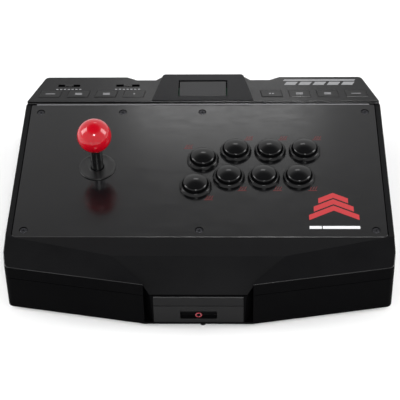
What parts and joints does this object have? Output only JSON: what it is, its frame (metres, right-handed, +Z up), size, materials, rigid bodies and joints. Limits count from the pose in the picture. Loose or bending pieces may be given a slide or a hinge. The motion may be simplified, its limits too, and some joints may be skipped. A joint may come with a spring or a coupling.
{
  "type": "arcade joystick panel",
  "caption": "Desk-top arcade controller: sloped glossy panel with a ball-top joystick and push buttons, rear deck of small keys, slide switches and a touchpad, notched palm rest.",
  "frame": {"origin": "on the table surface, under the middle of the case", "axes": "+X to the player's right, +Y away from the player, +Z up"},
  "size_m": [0.385, 0.3004, 0.1312],
  "materials": {
    "case_plastic": "fine satin grain",
    "bezel_plastic": "satin",
    "panel_gloss": "glossy black",
    "panel_steel": "black coat",
    "black_screws": "black oxide",
    "foot_rubber": "matt",
    "jack_plastic": "gloss",
    "ring_red": "dark red",
    "usb_steel": "nickel",
    "touchpad_satin": "satin",
    "key_plastic": "satin",
    "circuit_board": "solder mask",
    "switch_plastic": "moulded",
    "rim_gloss": "gloss",
    "button_gloss": "high gloss",
    "ball_red": "high gloss",
    "lever_steel": "ground",
    "zinc_steel": "zinc plated",
    "cover_plastic": "gloss",
    "washer_plastic": "satin",
    "lever_plastic": "nylon",
    "wire": "insulated"
  },
  "bodies": {
    "root": {"base_screws": "black_screws", "button_housing_1": "rim_gloss", "button_housing_2": "rim_gloss", "button_housing_3": "rim_gloss", "button_housing_4": "rim_gloss", "button_housing_5": "rim_gloss", "button_housing_6": "rim_gloss", "button_housing_7": "rim_gloss", "button_housing_8": "rim_gloss", "button_switches": "switch_plastic", "console_cover": "case_plastic", "cover_sheet": "panel_gloss", "deck_boards": "circuit_board", "front_bezel": "bezel_plastic", "harness": "wire", "headset_jack": "jack_plastic", "jack_ring": "ring_red", "lever_switches": "switch_plastic", "lower_housing": "case_plastic", "main_board": "circuit_board", "metal_plate": "panel_steel", "plate_screws": "black_screws", "restrictor_gate": "lever_plastic", "rubber_feet": "foot_rubber", "slide_switches": "switch_plastic", "stick_board": "circuit_board", "stick_housing": "lever_plastic", "stick_mount_plate": "zinc_steel", "tact_switches": "switch_plastic", "upper_housing": "case_plastic", "usb_socket": "usb_steel"},
    "button_1": {"button_plunger_1": "button_gloss"},
    "key_1": {"deck_key_1": "key_plastic"},
    "button_2": {"button_plunger_2": "button_gloss"},
    "key_2": {"deck_key_2": "key_plastic"},
    "button_3": {"button_plunger_3": "button_gloss"},
    "key_3": {"deck_key_3": "key_plastic"},
    "button_4": {"button_plunger_4": "button_gloss"},
    "key_4": {"deck_key_4": "key_plastic"},
    "button_5": {"button_plunger_5": "button_gloss"},
    "key_5": {"deck_key_5": "key_plastic"},
    "button_6": {"button_plunger_6": "button_gloss"},
    "key_6": {"deck_key_6": "key_plastic"},
    "button_7": {"button_plunger_7": "button_gloss"},
    "key_7": {"deck_key_7": "key_plastic"},
    "button_8": {"button_plunger_8": "button_gloss"},
    "key_8": {"deck_key_8": "key_plastic"},
    "pad": {"touchpad": "touchpad_satin"},
    "mode_slider": {"slide_knob_1": "key_plastic"},
    "lock_slider": {"slide_knob_2": "key_plastic"},
    "pivot": {"pivot_ball": "lever_plastic"},
    "lever": {"pivot_sleeve": "lever_plastic", "actuator": "lever_plastic", "return_spring": "lever_steel"},
    "stick": {"shaft": "lever_steel", "shaft_cover": "cover_plastic", "ball_top": "ball_red", "retaining_clip": "lever_steel"},
    "dust_frame": {"dust_slider": "washer_plastic"},
    "dust_disc": {"dust_washer": "washer_plastic"}
  },
  "joints": [
    {"name": "button_1_press", "type": "slide", "parent": "root", "child": "button_1", "axis": [0, 0.0698, -0.9976], "range_m": [0, 0.0025], "stiffness_N_per_m": 220, "springref_m": -0.0015},
    {"name": "button_2_press", "type": "slide", "parent": "root", "child": "button_2", "axis": [0, 0.0698, -0.9976], "range_m": [0, 0.0025], "stiffness_N_per_m": 220, "springref_m": -0.0015},
    {"name": "button_3_press", "type": "slide", "parent": "root", "child": "button_3", "axis": [0, 0.0698, -0.9976], "range_m": [0, 0.0025], "stiffness_N_per_m": 220, "springref_m": -0.0015},
    {"name": "button_4_press", "type": "slide", "parent": "root", "child": "button_4", "axis": [0, 0.0698, -0.9976], "range_m": [0, 0.0025], "stiffness_N_per_m": 220, "springref_m": -0.0015},
    {"name": "button_5_press", "type": "slide", "parent": "root", "child": "button_5", "axis": [0, 0.0698, -0.9976], "range_m": [0, 0.0025], "stiffness_N_per_m": 220, "springref_m": -0.0015},
    {"name": "button_6_press", "type": "slide", "parent": "root", "child": "button_6", "axis": [0, 0.0698, -0.9976], "range_m": [0, 0.0025], "stiffness_N_per_m": 220, "springref_m": -0.0015},
    {"name": "button_7_press", "type": "slide", "parent": "root", "child": "button_7", "axis": [0, 0.0698, -0.9976], "range_m": [0, 0.0025], "stiffness_N_per_m": 220, "springref_m": -0.0015},
    {"name": "button_8_press", "type": "slide", "parent": "root", "child": "button_8", "axis": [0, 0.0698, -0.9976], "range_m": [0, 0.0025], "stiffness_N_per_m": 220, "springref_m": -0.0015},
    {"name": "key_1_press", "type": "slide", "parent": "root", "child": "key_1", "axis": [0, 0.0698, -0.9976], "range_m": [0, 0.0006], "stiffness_N_per_m": 1200, "springref_m": -0.0005},
    {"name": "key_2_press", "type": "slide", "parent": "root", "child": "key_2", "axis": [0, 0.0698, -0.9976], "range_m": [0, 0.0006], "stiffness_N_per_m": 1200, "springref_m": -0.0005},
    {"name": "key_3_press", "type": "slide", "parent": "root", "child": "key_3", "axis": [0, 0.0698, -0.9976], "range_m": [0, 0.0006], "stiffness_N_per_m": 1200, "springref_m": -0.0005},
    {"name": "key_4_press", "type": "slide", "parent": "root", "child": "key_4", "axis": [0, 0.0698, -0.9976], "range_m": [0, 0.0006], "stiffness_N_per_m": 1200, "springref_m": -0.0005},
    {"name": "key_5_press", "type": "slide", "parent": "root", "child": "key_5", "axis": [0, 0.0698, -0.9976], "range_m": [0, 0.0006], "stiffness_N_per_m": 1200, "springref_m": -0.0005},
    {"name": "key_6_press", "type": "slide", "parent": "root", "child": "key_6", "axis": [0, 0.0698, -0.9976], "range_m": [0, 0.0006], "stiffness_N_per_m": 1200, "springref_m": -0.0005},
    {"name": "key_7_press", "type": "slide", "parent": "root", "child": "key_7", "axis": [0, 0.0698, -0.9976], "range_m": [0, 0.0006], "stiffness_N_per_m": 1200, "springref_m": -0.0005},
    {"name": "key_8_press", "type": "slide", "parent": "root", "child": "key_8", "axis": [0, 0.0698, -0.9976], "range_m": [0, 0.0006], "stiffness_N_per_m": 1200, "springref_m": -0.0005},
    {"name": "pad_press", "type": "slide", "parent": "root", "child": "pad", "axis": [0, 0.1536, -0.9881], "range_m": [0, 0.0005], "stiffness_N_per_m": 1500, "springref_m": -0.0005},
    {"name": "mode_slide", "type": "slide", "parent": "root", "child": "mode_slider", "axis": [1, 0, 0], "range_m": [-0.007, 0.007]},
    {"name": "lock_slide", "type": "slide", "parent": "root", "child": "lock_slider", "axis": [1, 0, 0], "range_m": [-0.007, 0.007]},
    {"name": "tilt_fore_aft", "type": "hinge", "parent": "root", "child": "pivot", "pos_m": [-0.1075, 0.0103, 0.05388], "axis": [1, 0, 0], "range_deg": [-8, 8], "stiffness_Nm_per_rad": 0.8},
    {"name": "tilt_side", "type": "hinge", "parent": "pivot", "child": "lever", "pos_m": [-0.1075, 0.0103, 0.05388], "axis": [0, 0.9976, 0.0698], "range_deg": [-8, 8], "stiffness_Nm_per_rad": 0.8},
    {"name": "stick_spin", "type": "hinge", "parent": "lever", "child": "stick", "pos_m": [-0.1075, 0.0103, 0.05388], "axis": [0, -0.0698, 0.9976], "continuous": true},
    {"name": "dust_fore_aft", "type": "slide", "parent": "root", "child": "dust_frame", "axis": [0, 0.9976, 0.0698], "range_m": [-0.0021, 0.0021]},
    {"name": "dust_side", "type": "slide", "parent": "dust_frame", "child": "dust_disc", "axis": [1, 0, 0], "range_m": [-0.0023, 0.0023]}
  ],
  "couplings": [
    {"joint": "dust_fore_aft", "follows": "tilt_fore_aft", "m_per_rad": -0.0148},
    {"joint": "dust_side", "follows": "tilt_side", "m_per_rad": 0.0157}
  ]
}
